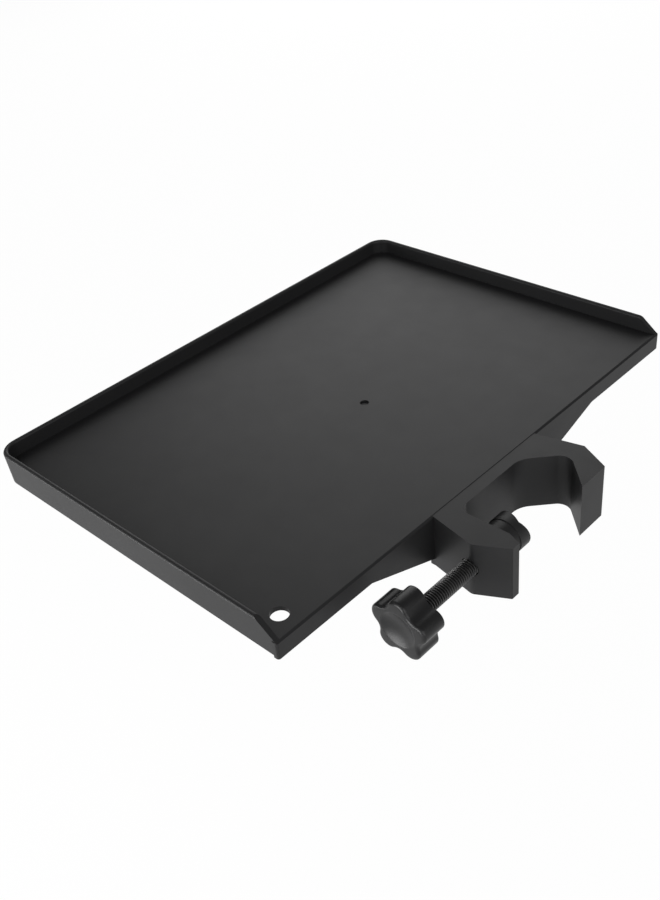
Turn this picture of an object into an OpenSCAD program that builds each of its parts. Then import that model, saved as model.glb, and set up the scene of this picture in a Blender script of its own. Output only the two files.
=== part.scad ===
// Clamp-on tray for a microphone or music stand.
// A moulded tray has a hooked clamp at its front edge. A hand screw presses a
// swivelling pad against the stand's pole and pulls the pole into the hook.
//
// Frame: the origin is on the axis of the pole, level with the hand screw.
// +X runs along the tray's long front edge, away from the knob.
// +Y runs from the pole towards the back of the tray, and +Z is up.

/* [Tray] */
// Outer length of the tray, along its front edge
tray_l = 275; // [230:5:320]
// Outer width of the tray, front to back
tray_w = 190; // [150:5:240]
// Height of the raised walls, from the tray's bottom edge
wall_h = 16.2; // [13:0.1:30]
// Height of the floor's upper face above the tray's bottom edge
edge_h = 8.4; // [6:0.1:11]
// Thickness of the raised walls and of the skirt below them
wall_t = 2.5; // [1.8:0.1:4]
// Thickness of the tray's floor
floor_t = 2.2; // [1.4:0.1:3.5]
// Outward lean of the side and back walls over their height
wall_lean = 0.7; // [0.2:0.1:1.2]
// Outer radius of the two back corners
back_corner_r = 10; // [6:0.5:20]
// Outer radius of the two front corners
front_corner_r = 1.2; // [1:0.1:4]
// Radius of the small rounded lip along the front edge
lip_r = 0.5; // [0.3:0.1:1.2]
// Length over which each side wall slopes down to the front edge
ramp_l = 9.5; // [6:0.5:25]
// Height of the gentler easing at the top of that slope
ramp_ease = 1; // [0.5:0.1:1.5]

/* [Floor details] */
// Diameter of the hanging hole in the front left corner
hang_hole_d = 8; // [4:0.5:12]
// Distance of the hanging hole from the tray's left end
hang_hole_x = 12.1; // [10:0.1:30]
// Distance of the hanging hole from the tray's front face
hang_hole_y = 10.6; // [10:0.1:30]
// Diameter of the moulding gate's dimple in the floor
gate_d = 4.4; // [2:0.1:6]
// Depth of the moulding gate's dimple
gate_depth = 1; // [0.4:0.1:1.2]
// Distance of the gate from the tray's left end
gate_x = 139.6; // [120:0.1:160]
// Distance of the gate from the tray's front face
gate_y = 81.3; // [60:0.1:100]

/* [Underside ribs] */
// Thickness of the ribs under the floor
rib_t = 1.8; // [1:0.1:3]
// Clearance between the ribs' lower edges and the tray's bottom edge
rib_up = 1.2; // [0.4:0.1:3]
// Reach of the two deep gusset ribs behind the clamp
gusset_l = 46; // [20:1:90]

/* [Clamp] */
// Diameter of the pole that the frame's origin is centred on
pole_d = 22; // [16:0.5:30]
// Height of the clamp, from the floor's upper face to its lower face
clamp_h = 27.2; // [22:0.1:36]
// Distance from the screw's axis to the tray's front face
axis_to_front = 21.3; // [19.5:0.1:28]
// Distance from the pole's axis to the tray's left end
pole_to_end = 145.7; // [140:0.1:160]
// Thickness of the bridge that joins the hook to the screw arm
bridge_t = 5.4; // [4:0.1:7]
// Distance from the screw axis to the clamp's outer end face
clamp_reach = 16.5; // [15:0.5:20]
// Distance of the clamp's middle from the pole's axis, towards the knob
clamp_offset = 17; // [15:0.5:19]
// Half width of the clamp at the tray's front face
half_root = 36.8; // [35:0.1:40]
// Half width of the clamp at its widest
half_wide = 41.5; // [41:0.1:46]
// Half width of the clamp at its end face
half_end = 33.8; // [33:0.1:38]
// Distance of the widest place from the screw axis, away from the tray
wide_y = 1.5; // [0:0.1:5]
// Distance from the pole's axis to the inner face of the screw arm
arm_face = 43.7; // [42:0.1:45]
// Radius at the bottom of the hook's vee
vee_r = 5.8; // [3:0.1:8]
// Radius of the blend from the bridge into the hook
crown_r = 12; // [8:0.5:18]
// Radius of the corner between the bridge and the screw arm
arm_corner_r = 5.5; // [3:0.5:8]
// Radius of the clamp's upright outer edges
clamp_edge_r = 0.6; // [0.4:0.1:2]
// Radius of the outer edge beside the knob
arm_edge_r = 4; // [1:0.5:5]
// Width of the slanted corner at the end of the screw arm
arm_bevel_w = 2.7; // [1:0.1:4]
// Length of the slanted corner at the end of the screw arm
arm_bevel_l = 6.5; // [3:0.1:8]
// Wall left around the pockets moulded into the clamp from below
pocket_wall = 3; // [2.4:0.1:3.4]

/* [Web below the front edge] */
// Depth of the web below the tray's bottom edge, where it meets the clamp
web_drop = 14.9; // [6:0.1:16]
// Length of the web to the left of the clamp
web_left = 39.4; // [20:0.2:60]
// Length of the web to the right of the clamp
web_right = 47.6; // [20:0.2:60]
// Thickness of the web
web_t = 2.5; // [1.8:0.1:3.2]

/* [Hand screw and nut] */
// Diameter over the screw's thread
screw_d = 8; // [7.5:0.5:8.5]
// Screw left showing between the arm and the knob with the pad drawn back
screw_out = 32.4; // [20:0.1:40]
// Diameter of the neck that the pad is snapped over
neck_d = 5.4; // [4:0.1:6]
// Length of the neck
neck_l = 2.1; // [1.9:0.1:3]
// Diameter of the button at the screw's tip
button_d = 7.4; // [7:0.1:7.8]
// Length of the button
button_l = 2.4; // [1.5:0.1:3]
// Width of the nut across its flats
nut_af = 13; // [12:0.5:14]
// Thickness of the nut
nut_t = 6.5; // [5:0.5:8]
// Depth of the nut's outer face below the arm's inner face
nut_inset = 0.4; // [0.3:0.1:1]
// Radial clearance of the screw in the nut
thread_clear = 0.05; // [0.02:0.01:0.09]
// Radial clearance of the screw in the arm
shank_clear = 0.3; // [0.2:0.05:0.6]
// Clearance on each side of the nut in its pocket
nut_clear = 0.05; // [0.03:0.01:0.2]

/* [Knob] */
// Diameter over the knob's lobes
knob_d = 28.4; // [26:0.2:40]
// Thickness of the knob
knob_t = 11.5; // [10.5:0.5:18]
// Number of lobes
knob_lobes = 5; // [4:1:6]
// Radius of each lobe
lobe_r = 4.8; // [4:0.1:5]
// Diameter across the bottoms of the scallops between the lobes
knob_core_d = 21.8; // [20:0.2:22.6]
// Turn of the knob at rest, measured from level
knob_turn = 17.8; // [0:0.1:72]
// Diameter of the dish in the knob's face
dish_d = 17; // [10:0.5:18]
// Depth of the dish
dish_depth = 1.1; // [0.4:0.1:2]
// Rounding of the knob's outer edges
knob_round = 1.2; // [0.5:0.1:3]
// Depth of the screw's seat in the knob
knob_grip = 8; // [6:0.5:9]
// Radial clearance of the screw's end in the knob
knob_clear = 0.02; // [0.01:0.01:0.05]

/* [Pressure pad] */
// Diameter of the pad's face
pad_d = 17.4; // [16.8:0.2:20]
// Diameter of the pad's rear collar
pad_collar_d = 16.6; // [14:0.2:18]
// Length of the pad, from its back to the bottom of its vee
pad_l = 13.7; // [12:0.1:14]
// Length of the rear collar
pad_collar_l = 9.6; // [7:0.1:10.5]
// Depth of the vee across the pad's face
pad_vee = 3; // [2:0.1:5]
// Roll of the vee away from upright
pad_roll = 30.5; // [0:0.5:60]
// Gap between the pad's back and the arm with the pad drawn back
pad_gap = 0.5; // [0.3:0.1:1]
// Thickness of the lip that holds the pad on the screw's neck
pad_lip_t = 1.5; // [1:0.1:1.5]
// Radial clearance of the screw's tip inside the pad
pad_clear = 0.15; // [0.1:0.05:0.3]

/* [Hidden] */

plastic = [0.055, 0.055, 0.06];
knob_plastic = [0.07, 0.07, 0.075];
pad_plastic = [0.045, 0.045, 0.05];
black_steel = [0.12, 0.12, 0.13];
zinc_steel = [0.62, 0.63, 0.65];

// Overshoot of the cutting shapes, so that no cut ends on a face
over = 1;
// Facets of a full circle
$fn = 64;

// Levels, with the screw's axis at zero
floor_top = clamp_h / 2;
clamp_bottom = -clamp_h / 2;
tray_bottom = floor_top - edge_h;
rim_top = tray_bottom + wall_h;
floor_bottom = floor_top - floor_t;
rim_r = wall_t / 2;

// Plan of the tray
left_x = -pole_to_end;
right_x = left_x + tray_l;
front_y = axis_to_front;
back_y = front_y + tray_w;

// Plan of the clamp
mid_x = -clamp_offset;
bridge_y = front_y - bridge_t;
vee_apex = pole_d / 2 * sqrt(2);
root_left = mid_x - half_root;
root_right = mid_x + half_root;

// Stations along the screw's axis
arm_in = -arm_face;
arm_out = mid_x - half_wide;
nut_x = arm_in - nut_inset - nut_t;
pad_back = arm_in + pad_gap;
pad_vee_x = pad_back + pad_l;
pad_front = pad_vee_x + pad_vee;
lip_x = pad_back + pad_lip_t;
tip_gap = (neck_l - pad_lip_t) / 2;
neck_x = pad_back - tip_gap;
button_x = neck_x + neck_l;
screw_tip = button_x + button_l;
knob_back = arm_out - screw_out;
knob_front = knob_back - knob_t;
screw_start = knob_back - knob_grip;

// Unit vector from one point to the next
function towards(a, b) = (b - a) / norm(b - a);
// Half of the corner's inner angle at p, between its neighbours a and b
function half_corner(a, p, b) = acos(towards(p, a) * towards(p, b)) / 2;
// Length that a rounding of radius r takes from each side of the corner
function tangent_length(a, p, b, r) = r / tan(half_corner(a, p, b));
// Centre of that rounding
function corner_centre(a, p, b, r) =
    p + (towards(p, a) + towards(p, b))
        / norm(towards(p, a) + towards(p, b)) * r / sin(half_corner(a, p, b));

// Which way an outline runs: positive when its points go anticlockwise
function outline_turn(points) =
    [for (i = [0:len(points) - 1]) cross(points[i], points[(i + 1) % len(points)])]
        * [for (p = points) 1];

// The arcs' discs at the outline's corners, either the convex or the hollow ones
module corner_discs(points, radii, convex) {
    last = len(points) - 1;
    turn = outline_turn(points);
    for (i = [0:last]) {
        p = points[i];
        a = points[i == 0 ? last : i - 1];
        b = points[i == last ? 0 : i + 1];
        if (radii[i] > 0 && (cross(p - a, b - p) * turn > 0) == convex)
            translate(corner_centre(a, p, b, radii[i])) circle(r = radii[i]);
    }
}

// An outline whose corners, convex or hollow, are true arcs
module rounded_outline(points, radii) {
    last = len(points) - 1;
    difference() {
        union() {
            polygon([
                for (i = [0:last])
                    let (p = points[i], a = points[i == 0 ? last : i - 1], b = points[i == last ? 0 : i + 1])
                    each [
                        p + towards(p, a) * tangent_length(a, p, b, radii[i]),
                        p + towards(p, b) * tangent_length(a, p, b, radii[i])
                    ]
            ]);
            corner_discs(points, radii, true);
        }
        corner_discs(points, radii, false);
    }
}

// Everything turned about the screw's axis is drawn along +Z and laid along +X
module along_x(x) {
    translate([x, 0, 0]) rotate([0, 90, 0]) children();
}

// Half width of the clamp at a distance y behind the screw's axis
function half_width(y) = half_wide + (half_root - half_wide) * (y + wide_y) / (front_y + wide_y);

// Plan of the tray's floor, which reaches into the walls around it
module floor_plan() {
    bite = wall_t / 2;
    rounded_outline(
        [
            [left_x + bite, front_y + bite],
            [right_x - bite, front_y + bite],
            [right_x - bite, back_y - bite],
            [left_x + bite, back_y - bite]
        ],
        [0, 0, back_corner_r - bite, back_corner_r - bite]
    );
}

// The upper half of a disc, for the rounded tops of walls and lips
module half_disc(r) {
    intersection() {
        circle(r = r);
        translate([-2 * r, 0]) square([4 * r, 2 * r]);
    }
}

// Section of a raised wall. Its outer face is at zero, and it leans in at the bottom.
module wall_section() {
    polygon([
        [-wall_lean, tray_bottom],
        [0, rim_top - rim_r],
        [-wall_t, rim_top - rim_r],
        [-wall_t, tray_bottom]
    ]);
    translate([-rim_r, rim_top - rim_r]) half_disc(rim_r);
}

// The wall section, run straight in the direction of heading
module straight_wall(from, heading, length) {
    translate(from) rotate([0, 0, heading + 90]) rotate([90, 0, 0]) linear_extrude(length) wall_section();
}

// The wall section, turned round a back corner
module corner_wall(centre, turn) {
    translate(centre) rotate([0, 0, turn]) rotate_extrude(angle = 90)
        translate([back_corner_r, 0]) wall_section();
}

// Room above the side walls' front ends, seen from the side and run along X
module ramp_cut() {
    foot_z = floor_top - lip_r;
    half_way_rise = 0.4 * (rim_top - floor_top);
    ease_l = 4 * ramp_ease;
    translate([left_x - over, 0, 0]) rotate([90, 0, 90]) linear_extrude(tray_l + 2 * over)
        polygon([
            [front_y - over, foot_z],
            [front_y, foot_z],
            [front_y + ramp_l / 2, floor_top + half_way_rise],
            [front_y + ramp_l, rim_top - ramp_ease],
            [front_y + ramp_l + ease_l, rim_top + ramp_ease],
            [front_y - over, rim_top + ramp_ease]
        ]);
}

// Rounds an upright front corner of the tray
module front_corner_cut(x, side) {
    r = front_corner_r;
    translate([x, front_y, tray_bottom - over]) linear_extrude(wall_h + 2 * over) difference() {
        translate([side > 0 ? -r : -over, -over]) square(r + over);
        translate([-side * r, r]) circle(r = r);
    }
}

// Front wall with the small rounded lip that stops things rolling off
module front_wall() {
    translate([left_x, 0, 0]) rotate([90, 0, 90]) linear_extrude(tray_l) {
        translate([front_y, tray_bottom]) square([wall_t, edge_h]);
        translate([front_y + lip_r, floor_top]) half_disc(lip_r);
    }
}

// Floor, skirt and raised walls, before the clamp is added
module tray_shell() {
    side_l = tray_w - back_corner_r;
    corner_y = back_y - back_corner_r;
    difference() {
        union() {
            straight_wall([right_x, corner_y, 0], -90, side_l);
            straight_wall([left_x, front_y, 0], 90, side_l);
            front_wall();
        }
        ramp_cut();
        front_corner_cut(left_x, -1);
        front_corner_cut(right_x, 1);
    }
    straight_wall([left_x + back_corner_r, back_y, 0], 0, tray_l - 2 * back_corner_r);
    corner_wall([right_x - back_corner_r, corner_y, 0], 0);
    corner_wall([left_x + back_corner_r, corner_y, 0], 90);
    translate([0, 0, floor_bottom]) linear_extrude(floor_t) floor_plan();
}

// One straight rib under the floor, from corner to corner of its plan
module rib(low, high) {
    z = tray_bottom + rib_up;
    translate([low[0], low[1], z]) cube([high[0] - low[0], high[1] - low[1], floor_bottom - z + floor_t / 2]);
}

// A deep rib behind the clamp that carries the load into the floor
module gusset_rib(x) {
    translate([x - rib_t / 2, 0, 0]) rotate([90, 0, 90]) linear_extrude(rib_t)
        polygon([
            [front_y + web_t / 2, floor_bottom + floor_t / 2],
            [front_y + web_t / 2, tray_bottom - web_drop + rib_up],
            [front_y + web_t + rib_t, tray_bottom - web_drop + rib_up],
            [front_y + gusset_l, tray_bottom + rib_up],
            [front_y + gusset_l, floor_bottom + floor_t / 2]
        ]);
}

// The grid of ribs, lined up with the two arms of the clamp
module ribs() {
    inner_left = left_x + wall_t / 2;
    inner_right = right_x - wall_t / 2;
    middle_y = front_y + tray_w / 2;
    for (x = [root_left + rib_t, root_right - rib_t]) {
        rib([x - rib_t / 2, front_y + wall_t / 2], [x + rib_t / 2, back_y - wall_t / 2]);
        gusset_rib(x);
    }
    rib([inner_left, middle_y - rib_t / 2], [inner_right, middle_y + rib_t / 2]);
}

// The web that carries the front face down to the clamp
module web() {
    low_z = tray_bottom - web_drop;
    translate([0, front_y + web_t, 0]) rotate([90, 0, 0]) linear_extrude(web_t)
        polygon([
            [root_left - web_left, tray_bottom],
            [root_left, low_z],
            [root_right, low_z],
            [root_right + web_right, tray_bottom],
            [root_right + web_right, floor_bottom],
            [root_left - web_left, floor_bottom]
        ]);
}

// Plan of the whole clamp with its opening still filled
module clamp_plan() {
    rounded_outline(
        [
            [root_left, front_y + web_t],
            [root_left, front_y],
            [mid_x - half_wide, -wide_y],
            [mid_x - half_end, -clamp_reach],
            [mid_x + half_end, -clamp_reach],
            [mid_x + half_wide, -wide_y],
            [root_right, front_y],
            [root_right, front_y + web_t]
        ],
        [0, 0, arm_edge_r, clamp_edge_r, clamp_edge_r, clamp_edge_r, 0, 0]
    );
}

// Plan of the opening: a vee hook for the pole, and the arm's flat face
module opening_plan() {
    // Far enough out to leave the clamp on every side
    reach = 3 * clamp_reach;
    rounded_outline(
        [
            [arm_in, bridge_y],
            [vee_apex - bridge_y, bridge_y],
            [vee_apex, 0],
            [vee_apex - reach, -reach],
            [arm_in, -reach]
        ],
        [arm_corner_r, crown_r, vee_r, 0, 0]
    );
    polygon([
        [arm_in, -clamp_reach + arm_bevel_l],
        [arm_in + over, -clamp_reach + arm_bevel_l],
        [arm_in + over, -clamp_reach - arm_bevel_l],
        [arm_in - 2 * arm_bevel_w, -clamp_reach - arm_bevel_l],
        [arm_in - arm_bevel_w, -clamp_reach]
    ]);
}

// A pocket that leaves an even wall inside a convex outline
module pocket(points) {
    last = len(points) - 1;
    polygon([
        for (i = [0:last])
            corner_centre(points[i == 0 ? last : i - 1], points[i], points[i == last ? 0 : i + 1], pocket_wall)
    ]);
}

// Pockets moulded into the thick parts of the clamp from below
module clamp_pockets() {
    nut_side = nut_af / 2 + nut_clear;
    rear_y = bridge_y + pocket_wall;
    translate([0, 0, clamp_bottom - over]) linear_extrude(clamp_h - pocket_wall + over) {
        // In the screw arm, behind the nut
        pocket([
            [mid_x - half_width(nut_side), nut_side],
            [arm_in, nut_side],
            [arm_in, rear_y],
            [mid_x - half_width(rear_y), rear_y]
        ]);
        // In the hook, behind the vee
        pocket([
            [vee_apex, 0],
            [mid_x + half_width(0), 0],
            [mid_x + half_width(rear_y), rear_y],
            [vee_apex - rear_y, rear_y]
        ]);
        // In the hook's tip
        pocket([
            [vee_apex, 0],
            [vee_apex - clamp_reach, -clamp_reach],
            [mid_x + half_end, -clamp_reach],
            [mid_x + half_wide, -wide_y]
        ]);
    }
}

// Screw hole and nut seat in the arm
module screw_seat() {
    along_x(arm_out - over) cylinder(d = screw_d + 2 * shank_clear, h = arm_in - arm_out + 2 * over);
    along_x(nut_x) hex_prism(nut_af + 2 * nut_clear, nut_t + nut_inset + over);
}

// A hexagonal prism, given its width across the flats
module hex_prism(flats, h) {
    cylinder(d = flats / cos(30), h = h, $fn = 6);
}

// The clamp's body, one moulding with the tray
module clamp_body() {
    difference() {
        translate([0, 0, clamp_bottom]) linear_extrude(clamp_h) difference() {
            clamp_plan();
            opening_plan();
        }
        clamp_pockets();
        screw_seat();
    }
}

// Tray and clamp, moulded as one piece
module tray() {
    color(plastic)
        difference() {
            union() {
                tray_shell();
                ribs();
                web();
                clamp_body();
            }
            translate([left_x + hang_hole_x, front_y + hang_hole_y, tray_bottom - over])
                cylinder(d = hang_hole_d, h = edge_h + 2 * over);
            translate([left_x + gate_x, front_y + gate_y, floor_top - gate_depth])
                cylinder(d = gate_d, h = gate_depth + over);
        }
}

// Hexagon nut held in the arm, which the screw turns through
module captive_nut() {
    bore_d = screw_d + 2 * thread_clear;
    chamfer = 0.5;
    color(zinc_steel)
        along_x(nut_x)
        difference() {
            hex_prism(nut_af, nut_t);
            translate([0, 0, -over]) cylinder(d = bore_d, h = nut_t + 2 * over);
            translate([0, 0, nut_t - chamfer]) cylinder(d1 = bore_d, d2 = bore_d + 2 * chamfer, h = chamfer);
        }
}

// Threaded rod with a turned neck and button for the pad
module clamp_screw() {
    button_edge = 0.4;
    color(black_steel) {
        along_x(screw_start) cylinder(d = screw_d, h = neck_x - screw_start);
        along_x(neck_x - over) cylinder(d = neck_d, h = neck_l + 2 * over);
        along_x(button_x) cylinder(d = button_d, h = button_l - button_edge);
        along_x(screw_tip - button_edge)
            cylinder(d1 = button_d, d2 = button_d - 2 * button_edge, h = button_edge);
    }
}

// Outline of the knob: round lobes joined by scallops that run smoothly into them
module knob_outline() {
    step = 360 / knob_lobes;
    first = 90 + knob_turn;
    lobe_at = knob_d / 2 - lobe_r;
    inset = lobe_r - knob_core_d / 2;
    scallop_at = (lobe_at * lobe_at - inset * inset) / (2 * (inset + lobe_at * cos(step / 2)));
    difference() {
        polygon([
            for (i = [0:knob_lobes - 1])
                each [
                    lobe_at * [cos(first + i * step), sin(first + i * step)],
                    scallop_at * [cos(first + (i + 0.5) * step), sin(first + (i + 0.5) * step)]
                ]
        ]);
        for (i = [0:knob_lobes - 1])
            rotate(first + (i + 0.5) * step) translate([scallop_at, 0]) circle(r = scallop_at - knob_core_d / 2);
    }
    for (i = [0:knob_lobes - 1])
        rotate(first + i * step) translate([lobe_at, 0]) circle(r = lobe_r);
}

// Profile that rounds the knob's edges and dishes its face, turned about its axis
module knob_profile() {
    r = knob_d / 2;
    difference() {
        union() {
            translate([0, knob_round]) square([r, knob_t - 2 * knob_round]);
            square([r - knob_round, knob_t]);
            translate([r - knob_round, knob_round]) circle(r = knob_round);
            translate([r - knob_round, knob_t - knob_round]) circle(r = knob_round);
        }
        translate([-over, -over]) square([over, knob_t + 2 * over]);
        polygon([[0, dish_depth], [dish_d / 2 - dish_depth, dish_depth], [dish_d / 2, 0], [dish_d / 2, -over], [0, -over]]);
    }
}

// Star knob fixed on the end of the screw
module star_knob() {
    color(knob_plastic)
        along_x(knob_front)
        difference() {
            intersection() {
                linear_extrude(knob_t) knob_outline();
                rotate_extrude() knob_profile();
            }
            translate([0, 0, knob_t - knob_grip])
                cylinder(d = screw_d + 2 * knob_clear, h = knob_grip + over);
        }
}

// The vee that the pad's face has across it, as a wedge to cut away
module pad_wedge() {
    half = pad_d / 2 + over;
    depth = pad_vee * half / (pad_d / 2);
    rotate([pad_roll, 0, 0]) translate([pad_vee_x, 0, -half]) linear_extrude(2 * half)
        polygon([[0, 0], [depth, half], [depth + over, half], [depth + over, -half], [depth, -half]]);
}

// Pad that swivels on the screw's tip and bears on the pole
module pressure_pad() {
    socket_d = button_d + 2 * pad_clear;
    lip_d = neck_d + 2 * pad_clear;
    socket_end = screw_tip + tip_gap;
    color(pad_plastic)
        difference() {
            union() {
                along_x(pad_back) cylinder(d = pad_collar_d, h = pad_collar_l + over);
                along_x(pad_back + pad_collar_l) cylinder(d = pad_d, h = pad_front - pad_back - pad_collar_l);
            }
            pad_wedge();
            along_x(pad_back - over) cylinder(d = lip_d, h = pad_lip_t + 2 * over);
            along_x(lip_x) cylinder(d = socket_d, h = socket_end - lip_x);
        }
}

tray();
captive_nut();
clamp_screw();
star_knob();
pressure_pad();
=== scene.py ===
"""Looks of a clamp-on tray for a microphone stand.

Everything is in metres, in the part's own frame: the origin is on the pole's
axis, level with the hand screw, with +X along the tray's front edge, +Y
towards its back and +Z up.
"""

import math

import bmesh
import bpy
from mathutils import Matrix, Vector


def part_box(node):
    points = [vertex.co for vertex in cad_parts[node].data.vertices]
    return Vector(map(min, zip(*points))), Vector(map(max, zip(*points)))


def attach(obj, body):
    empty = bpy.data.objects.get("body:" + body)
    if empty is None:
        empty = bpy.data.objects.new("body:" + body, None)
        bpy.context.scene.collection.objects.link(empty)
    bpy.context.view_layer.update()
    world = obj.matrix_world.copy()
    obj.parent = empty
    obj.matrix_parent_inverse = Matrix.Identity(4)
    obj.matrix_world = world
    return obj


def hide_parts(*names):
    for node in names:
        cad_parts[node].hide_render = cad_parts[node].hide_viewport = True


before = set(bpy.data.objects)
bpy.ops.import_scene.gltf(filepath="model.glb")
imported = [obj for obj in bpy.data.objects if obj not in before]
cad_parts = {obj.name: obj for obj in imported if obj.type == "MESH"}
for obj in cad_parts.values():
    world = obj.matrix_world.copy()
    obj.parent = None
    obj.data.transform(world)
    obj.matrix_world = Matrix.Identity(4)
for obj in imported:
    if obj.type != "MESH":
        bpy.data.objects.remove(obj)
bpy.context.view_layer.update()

MM = 0.001

# Camera, at the photograph's viewing angle
CAMERA_AT = Vector((-311.5, -199.6, 294.5)) * MM
CAMERA_FORWARD = Vector((0.55195, 0.59779, -0.58138))
CAMERA_UP = Vector((0.47817, 0.34595, 0.80726))
FRAME_HEIGHT_PX = 900
FOCAL_PX = 1052.5
SENSOR_MM = 36.0
CLIP_START = 0.01
CLIP_END = 30.0

# Studio
LAMP_TARGET = Vector((0, 0.1, 0))
LAMP_DISTANCE = 2.4
ROOM_STRENGTH = 0.36
FLOOR_Z = -0.30
FLOOR_SIZE = 30.0
FLOOR_GREY = 0.82
FLOOR_ROUGHNESS = 0.9
# Share of the floor's brightness that comes from the lamps and so carries the shadow
FLOOR_LIT_SHARE = 0.05

# Surfaces: the two values that noise mostly lies between
NOISE_LOW = 0.3
NOISE_HIGH = 0.7
# Patches of gloss along the length of one patch of colour
GLOSS_PATCHES = 6
COLOUR_DETAIL = 3.0
GLOSS_DETAIL = 5.0
GRAIN_DETAIL = 2.0

# Edges of the mouldings
EDGE_R = 0.35 * MM
EDGE_SEGMENTS = 2
EDGE_ANGLE = math.radians(30)
FLAT_WEIGHT = 100
# What counts as one point, and as one flat face, in a CAD node's mesh
SAME_POINT = 0.001 * MM
SAME_PLANE = math.radians(0.5)

# Hand screw
SCREW_PITCH = 1.25 * MM
SCREW_ROOT_R = 3.24 * MM
THREAD_STEPS = 32
# Corners of the thread's profile: share of the pitch, and share of the thread's depth
THREAD_PROFILE = ((0.0, 0.0), (0.14, 0.0), (0.44, 1.0), (0.70, 1.0))
# Turns past the rod's ends, so that both can be cut square
SPARE_TURNS = 3
NECK_L = 2.1 * MM
NECK_R = 2.7 * MM
NECK_ROOT = 0.5 * MM
BUTTON_R = 3.7 * MM
BUTTON_L = 2.4 * MM
BUTTON_EDGE = 0.4 * MM

# Knob
KNOB_LOBES = 5
KNOB_STEPS = 200
KNOB_R = 14.2 * MM
KNOB_CORE_R = 10.9 * MM
LOBE_R = 4.8 * MM
KNOB_TURN = math.radians(17.8)
KNOB_HUB_R = 5.0 * MM
KNOB_HUB_DEPTH = 0.6 * MM
KNOB_BACK_EDGE = 0.5 * MM
KNOB_BACK_RIM = 0.3 * MM
# The face's rim stands this much proud of the solid, and its edge falls away to the lobes
KNOB_CROWN = 0.8 * MM
KNOB_EDGE_L = 1.4 * MM
KNOB_EDGE_W = 1.9 * MM
KNOB_EDGE_STEPS = 8
KNOB_DISH_R = 8.7 * MM
KNOB_DISH_LIP = 0.2 * MM
KNOB_DISH_DEPTH = 2.3 * MM
KNOB_DISH_STEPS = 14


def new_object(name, data):
    """A new object in the scene that holds the data."""
    piece = bpy.data.objects.new(name, data)
    bpy.context.scene.collection.objects.link(piece)
    return piece


def piece_from_bmesh(name, bm, smooth=True):
    """A piece with outward faces, made from a bmesh that is then freed."""
    bmesh.ops.recalc_face_normals(bm, faces=bm.faces)
    for face in bm.faces:
        face.smooth = smooth
    mesh = bpy.data.meshes.new(name)
    bm.to_mesh(mesh)
    bm.free()
    return new_object(name, mesh)


def round_edges(piece):
    """Rounds the piece's sharp edges and keeps its flat faces flat."""
    bevel = piece.modifiers.new("rounded_edges", "BEVEL")
    bevel.width = EDGE_R
    bevel.segments = EDGE_SEGMENTS
    bevel.limit_method = "ANGLE"
    bevel.angle_limit = EDGE_ANGLE
    bevel.use_clamp_overlap = True
    flat = piece.modifiers.new("flat_faces", "WEIGHTED_NORMAL")
    flat.mode = "FACE_AREA"
    flat.weight = FLAT_WEIGHT
    flat.keep_sharp = False


def rounded_piece(node, name):
    """The CAD node's shape as a piece with rounded edges."""
    bm = bmesh.new()
    bm.from_mesh(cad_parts[node].data)
    bmesh.ops.remove_doubles(bm, verts=bm.verts, dist=SAME_POINT)
    bmesh.ops.dissolve_limit(bm, angle_limit=SAME_PLANE, verts=bm.verts, edges=bm.edges)
    piece = piece_from_bmesh(name, bm)
    round_edges(piece)
    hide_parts(node)
    return piece


def lathe_rows(bm, rows):
    """Joins rows of points, each a closed ring, with quads, and caps both ends."""
    rings = [[bm.verts.new(p) for p in row] for row in rows]
    for low, high in zip(rings, rings[1:]):
        for i in range(len(low)):
            j = (i + 1) % len(low)
            bm.faces.new((low[i], low[j], high[j], high[i]))
    bm.faces.new(rings[0])
    bm.faces.new(rings[-1])


def ring(x, radii, first=0.0):
    """Points about the screw's axis in even steps, one at each of the radii."""
    points = []
    for i, radius in enumerate(radii):
        t = 2 * math.pi * i / len(radii) + first
        points.append(Vector((x, radius * math.cos(t), radius * math.sin(t))))
    return points


def helical_thread(start, end, radius):
    """A helical thread's open surface, longer than from start to end by the spare turns."""
    turns = int((end - start) / SCREW_PITCH) + SPARE_TURNS
    depth = radius - SCREW_ROOT_R
    columns = [
        (turn + share, SCREW_ROOT_R + depth * height)
        for turn in range(turns)
        for share, height in THREAD_PROFILE
    ]
    bm = bmesh.new()
    grid = []
    for i in range(THREAD_STEPS):
        t = 2 * math.pi * i / THREAD_STEPS
        lead = i / THREAD_STEPS - SPARE_TURNS / 2
        grid.append([
            bm.verts.new((start + (place + lead) * SCREW_PITCH, r * math.cos(t), r * math.sin(t)))
            for place, r in columns
        ])
    corners = len(THREAD_PROFILE)
    for i in range(THREAD_STEPS):
        j = (i + 1) % THREAD_STEPS
        # The last strip meets the first one a full pitch further on
        shift = corners if j == 0 else 0
        for k in range(len(columns) - 1 - corners):
            bm.faces.new((grid[i][k], grid[i][k + 1], grid[j][k + 1 + shift], grid[j][k + shift]))
    return bm


def cut_end(bm, x, side):
    """Cuts the rod square at x, drops what lies on the given side and closes the end."""
    cut = bmesh.ops.bisect_plane(
        bm, geom=bm.verts[:] + bm.edges[:] + bm.faces[:],
        plane_co=(x, 0, 0), plane_no=(side, 0, 0), clear_outer=True,
    )
    edges = [e for e in cut["geom_cut"] if isinstance(e, bmesh.types.BMEdge)]
    bmesh.ops.holes_fill(bm, edges=edges, sides=0)


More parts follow.
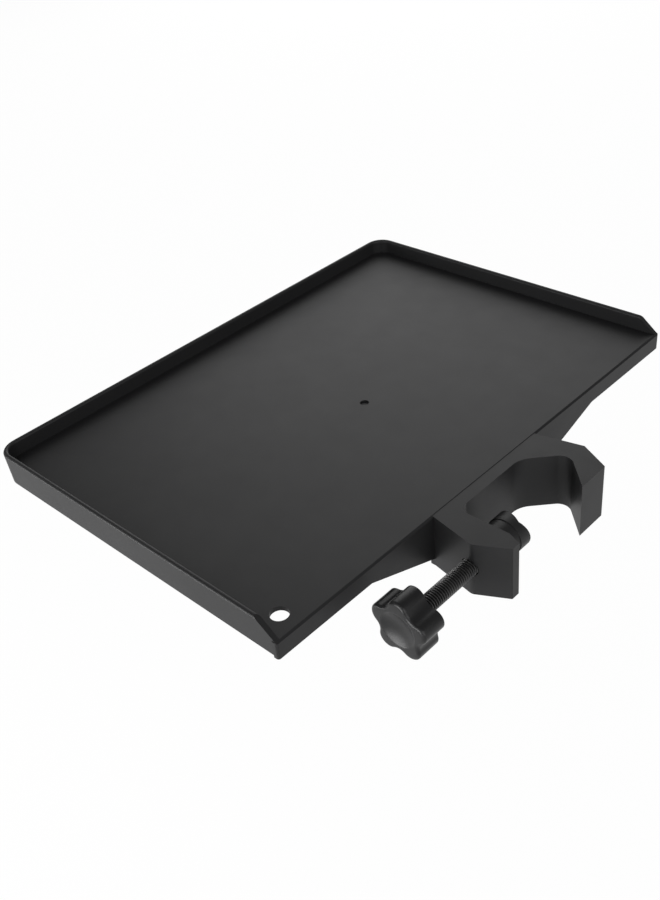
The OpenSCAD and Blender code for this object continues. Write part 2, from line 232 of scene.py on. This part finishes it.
def spread_noise(nodes, links, coords, scale, detail, low, high):
    """The value of a noise in the object's own coordinates, spread between two values."""
    texture = nodes.new("ShaderNodeTexNoise")
    texture.inputs["Scale"].default_value = scale
    texture.inputs["Detail"].default_value = detail
    links.new(coords.outputs["Object"], texture.inputs["Vector"])
    spread = nodes.new("ShaderNodeMapRange")
    spread.inputs["From Min"].default_value = NOISE_LOW
    spread.inputs["From Max"].default_value = NOISE_HIGH
    spread.inputs["To Min"].default_value = low
    spread.inputs["To Max"].default_value = high
    links.new(texture.outputs["Fac"], spread.inputs["Value"])
    return spread.outputs["Result"]


def surface(name, dark, light, rough, grain, height, metallic=0.0, patch=18.0, shine=0.5):
    """A material with uneven colour and gloss and a fine grain.

    Colour runs from dark to light, and roughness between the two values of rough. patch is
    the number of colour patches in a metre, grain that of the grain's bumps, and height how
    high the bumps are.
    """
    material = bpy.data.materials.new(name)
    material.use_nodes = True
    nodes, links = material.node_tree.nodes, material.node_tree.links
    shader = nodes["Principled BSDF"]
    shader.inputs["Metallic"].default_value = metallic
    shader.inputs["Specular IOR Level"].default_value = shine
    coords = nodes.new("ShaderNodeTexCoord")

    patches = spread_noise(nodes, links, coords, patch, COLOUR_DETAIL, 0.0, 1.0)
    colour = nodes.new("ShaderNodeMix")
    colour.data_type = "RGBA"
    colour.inputs["A"].default_value = (*dark, 1.0)
    colour.inputs["B"].default_value = (*light, 1.0)
    links.new(patches, colour.inputs["Factor"])
    links.new(colour.outputs["Result"], shader.inputs["Base Color"])

    gloss = spread_noise(nodes, links, coords, patch * GLOSS_PATCHES, GLOSS_DETAIL, *rough)
    links.new(gloss, shader.inputs["Roughness"])

    bumps = spread_noise(nodes, links, coords, grain, GRAIN_DETAIL, 0.0, 1.0)
    bump = nodes.new("ShaderNodeBump")
    bump.inputs["Strength"].default_value = 1.0
    bump.inputs["Distance"].default_value = height
    links.new(bumps, bump.inputs["Height"])
    links.new(bump.outputs["Normal"], shader.inputs["Normal"])
    return material


def dress(piece, material):
    """Gives the whole piece one material."""
    piece.data.materials.clear()
    piece.data.materials.append(material)


def make_screw():
    """The threaded rod, its turned neck and the button that the pad is snapped over."""
    low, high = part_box("clamp_screw")
    button_x = high.x - BUTTON_L
    shoulder = button_x - NECK_L
    thread = helical_thread(low.x, shoulder, high.z)
    cut_end(thread, low.x, -1)
    cut_end(thread, shoulder, 1)
    rod = piece_from_bmesh("clamp_rod", thread, smooth=False)

    tip = bmesh.new()
    profile = (
        (shoulder - NECK_ROOT, NECK_R),
        (button_x, NECK_R),
        (button_x, BUTTON_R),
        (high.x - BUTTON_EDGE, BUTTON_R),
        (high.x, BUTTON_R - BUTTON_EDGE),
    )
    lathe_rows(tip, [ring(x, [radius] * THREAD_STEPS) for x, radius in profile])
    button = piece_from_bmesh("clamp_rod_tip", tip, smooth=False)
    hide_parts("clamp_screw")
    return rod, button


def knob_outline():
    """Distances of the knob's outline from its axis, in even steps from a lobe's middle.

    Round lobes are joined by scallops, each an arc that runs smoothly into the lobes beside it.
    """
    half_step = math.pi / KNOB_LOBES
    lobe_at = KNOB_R - LOBE_R
    inset = LOBE_R - KNOB_CORE_R
    scallop_at = (lobe_at ** 2 - inset ** 2) / (2 * (inset + lobe_at * math.cos(half_step)))
    scallop_r = scallop_at - KNOB_CORE_R
    scallop = Vector((scallop_at * math.cos(half_step), scallop_at * math.sin(half_step)))
    meet = Vector((lobe_at, 0)).lerp(scallop, LOBE_R / (LOBE_R + scallop_r))
    meet_angle = math.atan2(meet.y, meet.x)
    outline = []
    for i in range(KNOB_STEPS):
        t = 2 * math.pi * i / KNOB_STEPS
        off = abs((t + half_step) % (2 * half_step) - half_step)
        if off < meet_angle:
            across = lobe_at * math.sin(off)
            reach = lobe_at * math.cos(off) + math.sqrt(LOBE_R ** 2 - across ** 2)
        else:
            off = half_step - off
            across = scallop_at * math.sin(off)
            reach = scallop_at * math.cos(off) - math.sqrt(scallop_r ** 2 - across ** 2)
        outline.append(reach)
    return outline


def make_knob():
    """Star knob with a rounded edge round its face and a shallow bowl in it."""
    low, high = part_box("star_knob")
    front, back = low.x - KNOB_CROWN, high.x
    outline = knob_outline()

    def lobed(x, inset):
        return ring(x, [r - inset for r in outline], KNOB_TURN)

    def circle(x, radius):
        return ring(x, [radius] * KNOB_STEPS, KNOB_TURN)

    def rounding(x, side, length, width):
        """Rows over a quarter of an ellipse, from the face at x to the side of the lobes."""
        angles = [math.radians(90 * i / KNOB_EDGE_STEPS) for i in range(KNOB_EDGE_STEPS, -1, -1)]
        return [
            lobed(x + side * length * (1 - math.sin(a)), width * (1 - math.cos(a)))
            for a in angles
        ]

    rows = [
        circle(back - KNOB_HUB_DEPTH, KNOB_HUB_R),
        circle(back, KNOB_HUB_R + KNOB_HUB_DEPTH),
        lobed(back, KNOB_BACK_EDGE + KNOB_BACK_RIM),
    ]
    rows += rounding(back, -1, KNOB_BACK_EDGE, KNOB_BACK_EDGE)
    rows += reversed(rounding(front, 1, KNOB_EDGE_L, KNOB_EDGE_W))
    rows.append(circle(front, KNOB_DISH_R + KNOB_DISH_LIP))
    for i in range(KNOB_DISH_STEPS):
        reach = 1 - i / KNOB_DISH_STEPS
        rows.append(circle(front + KNOB_DISH_DEPTH * (1 - reach ** 2), KNOB_DISH_R * reach))
    bm = bmesh.new()
    lathe_rows(bm, rows)
    knob = piece_from_bmesh("knob", bm)
    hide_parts("star_knob")
    return knob


def softbox(name, azimuth, elevation, width, height, radiance, distance=LAMP_DISTANCE):
    """A rectangular lamp in the given direction, turned to the tray, with an even brightness.

    Azimuth runs from +X towards +Y, and the width and height are the degrees that it spans.
    """
    turn, lift = math.radians(azimuth), math.radians(elevation)
    direction = Vector((
        math.cos(lift) * math.cos(turn), math.cos(lift) * math.sin(turn), math.sin(lift)))
    lamp = bpy.data.lights.new(name, "AREA")
    lamp.shape = "RECTANGLE"
    lamp.size = 2 * distance * math.tan(math.radians(width / 2))
    lamp.size_y = 2 * distance * math.tan(math.radians(height / 2))
    lamp.energy = math.pi * lamp.size * lamp.size_y * radiance
    box = new_object(name, lamp)
    box.location = LAMP_TARGET + distance * direction
    box.rotation_euler = (-direction).to_track_quat("-Z", "Y").to_euler()
    box.visible_camera = False


def white_floor():
    """A pale floor that shows white, with a little of the object's soft shadow."""
    half = FLOOR_SIZE / 2
    corners = [(-half, -half, FLOOR_Z), (half, -half, FLOOR_Z),
               (half, half, FLOOR_Z), (-half, half, FLOOR_Z)]
    mesh = bpy.data.meshes.new("floor")
    mesh.from_pydata(corners, [], [(0, 1, 2, 3)])
    floor = new_object("floor", mesh)
    material = bpy.data.materials.new("floor_white")
    material.use_nodes = True
    nodes, links = material.node_tree.nodes, material.node_tree.links
    shader = nodes["Principled BSDF"]
    shader.inputs["Base Color"].default_value = (FLOOR_GREY, FLOOR_GREY, FLOOR_GREY, 1)
    shader.inputs["Roughness"].default_value = FLOOR_ROUGHNESS
    shader.inputs["Specular IOR Level"].default_value = 0.0
    white = nodes.new("ShaderNodeEmission")
    path = nodes.new("ShaderNodeLightPath")
    seen = nodes.new("ShaderNodeMath")
    seen.operation = "MAXIMUM"
    links.new(path.outputs["Is Camera Ray"], seen.inputs[0])
    links.new(path.outputs["Is Glossy Ray"], seen.inputs[1])
    share = nodes.new("ShaderNodeMath")
    share.operation = "MULTIPLY"
    share.inputs[1].default_value = 1 - FLOOR_LIT_SHARE
    links.new(seen.outputs[0], share.inputs[0])
    mix = nodes.new("ShaderNodeMixShader")
    links.new(share.outputs[0], mix.inputs["Fac"])
    links.new(shader.outputs[0], mix.inputs[1])
    links.new(white.outputs[0], mix.inputs[2])
    links.new(mix.outputs[0], nodes["Material Output"].inputs["Surface"])
    dress(floor, material)


def make_camera():
    """The photograph's camera: where it stood, its tilt and its lens."""
    data = bpy.data.cameras.new("camera")
    data.sensor_fit = "VERTICAL"
    data.sensor_height = SENSOR_MM
    data.lens = FOCAL_PX / FRAME_HEIGHT_PX * SENSOR_MM
    data.clip_start = CLIP_START
    data.clip_end = CLIP_END
    camera = new_object("camera", data)
    back = -CAMERA_FORWARD.normalized()
    up = (CAMERA_UP - back * CAMERA_UP.dot(back)).normalized()
    turn = Matrix((up.cross(back), up, back)).transposed()
    camera.matrix_world = Matrix.Translation(CAMERA_AT) @ turn.to_4x4()
    bpy.context.scene.camera = camera


def make_world():
    """A dim, even room around the lamps."""
    world = bpy.data.worlds.new("room")
    world.use_nodes = True
    background = world.node_tree.nodes["Background"]
    background.inputs["Color"].default_value = (1, 1, 1, 1)
    background.inputs["Strength"].default_value = ROOM_STRENGTH
    bpy.context.scene.world = world


make_camera()
make_world()
white_floor()
softbox("back_softbox", azimuth=40, elevation=25, width=40, height=56, radiance=1.87)
softbox("front_softbox", azimuth=-105, elevation=20, width=60, height=40, radiance=2.6)
softbox("left_softbox", azimuth=180, elevation=25, width=40, height=40, radiance=1.0)
softbox("left_card", azimuth=165, elevation=-2, width=64, height=22, radiance=10.0, distance=1.2)

tray_black = surface(
    "tray_satin_black", dark=(0.0092, 0.0092, 0.0096), light=(0.0108, 0.0108, 0.0112),
    rough=(0.45, 0.48), grain=2600, height=0.006 * MM, shine=0.2)
knob_black = surface(
    "knob_satin_black", dark=(0.0055, 0.0055, 0.0058), light=(0.0075, 0.0075, 0.0078),
    rough=(0.33, 0.36), grain=2200, height=0.008 * MM, patch=90, shine=0.25)
pad_black = surface(
    "pad_satin_black", dark=(0.008, 0.008, 0.0083), light=(0.012, 0.012, 0.0124),
    rough=(0.42, 0.50), grain=2200, height=0.010 * MM, patch=90, shine=0.2)
rod_black = surface(
    "rod_black_oxide", dark=(0.055, 0.055, 0.057), light=(0.085, 0.084, 0.083),
    rough=(0.34, 0.46), grain=3000, height=0.004 * MM, metallic=1.0, patch=160)
nut_zinc = surface(
    "nut_zinc", dark=(0.42, 0.43, 0.45), light=(0.55, 0.56, 0.58),
    rough=(0.25, 0.38), grain=3000, height=0.004 * MM, metallic=1.0, patch=160)

tray = rounded_piece("tray", "moulded_tray")
dress(tray, tray_black)
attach(tray, "tray")

pad = rounded_piece("pressure_pad", "pad")
dress(pad, pad_black)
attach(pad, "pad")

rod, rod_tip = make_screw()
for piece in (rod, rod_tip):
    dress(piece, rod_black)
    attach(piece, "screw")

knob = make_knob()
dress(knob, knob_black)
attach(knob, "screw")

dress(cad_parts["captive_nut"], nut_zinc)

bpy.context.scene.view_settings.view_transform = "Standard"
